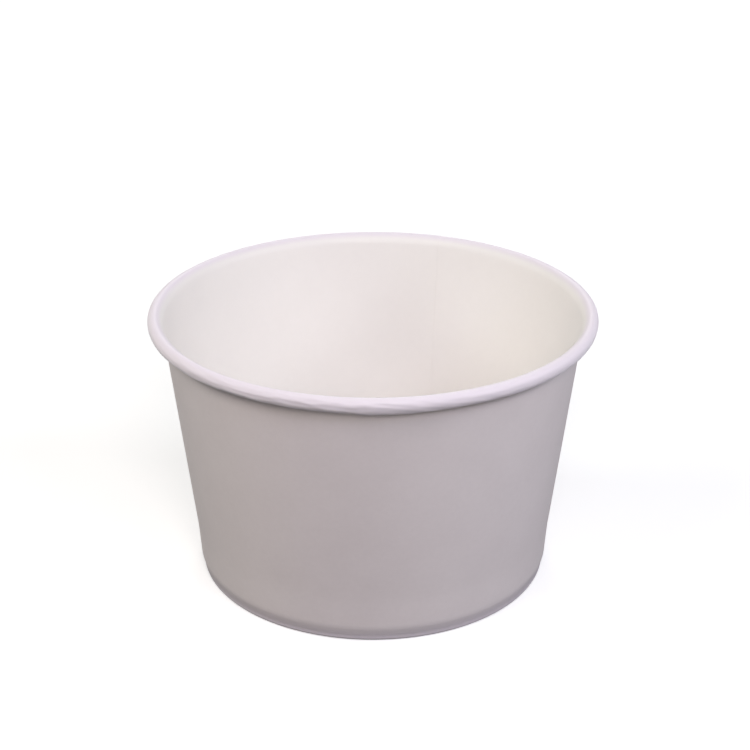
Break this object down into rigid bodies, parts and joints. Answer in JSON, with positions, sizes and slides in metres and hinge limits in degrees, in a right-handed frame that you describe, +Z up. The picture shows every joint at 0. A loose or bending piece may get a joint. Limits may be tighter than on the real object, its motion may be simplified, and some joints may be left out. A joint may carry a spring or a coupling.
{
  "type": "paper ice cream cup",
  "caption": "Round open paper cup for ice cream with a rolled rim, a lapped side seam and a recessed bottom disc.",
  "frame": {"origin": "centre of the cup's footprint, on the surface that it stands on", "axes": "+Z up along the cup's axis; -Y is the front, away from the side seam; +X is to the right seen from the front"},
  "size_m": [0.095, 0.095, 0.059],
  "materials": {
    "wall_board": "matte",
    "disc_board": "satin"
  },
  "bodies": {
    "root": {"sidewall": "wall_board", "bottom_disc": "disc_board"}
  },
  "joints": []
}
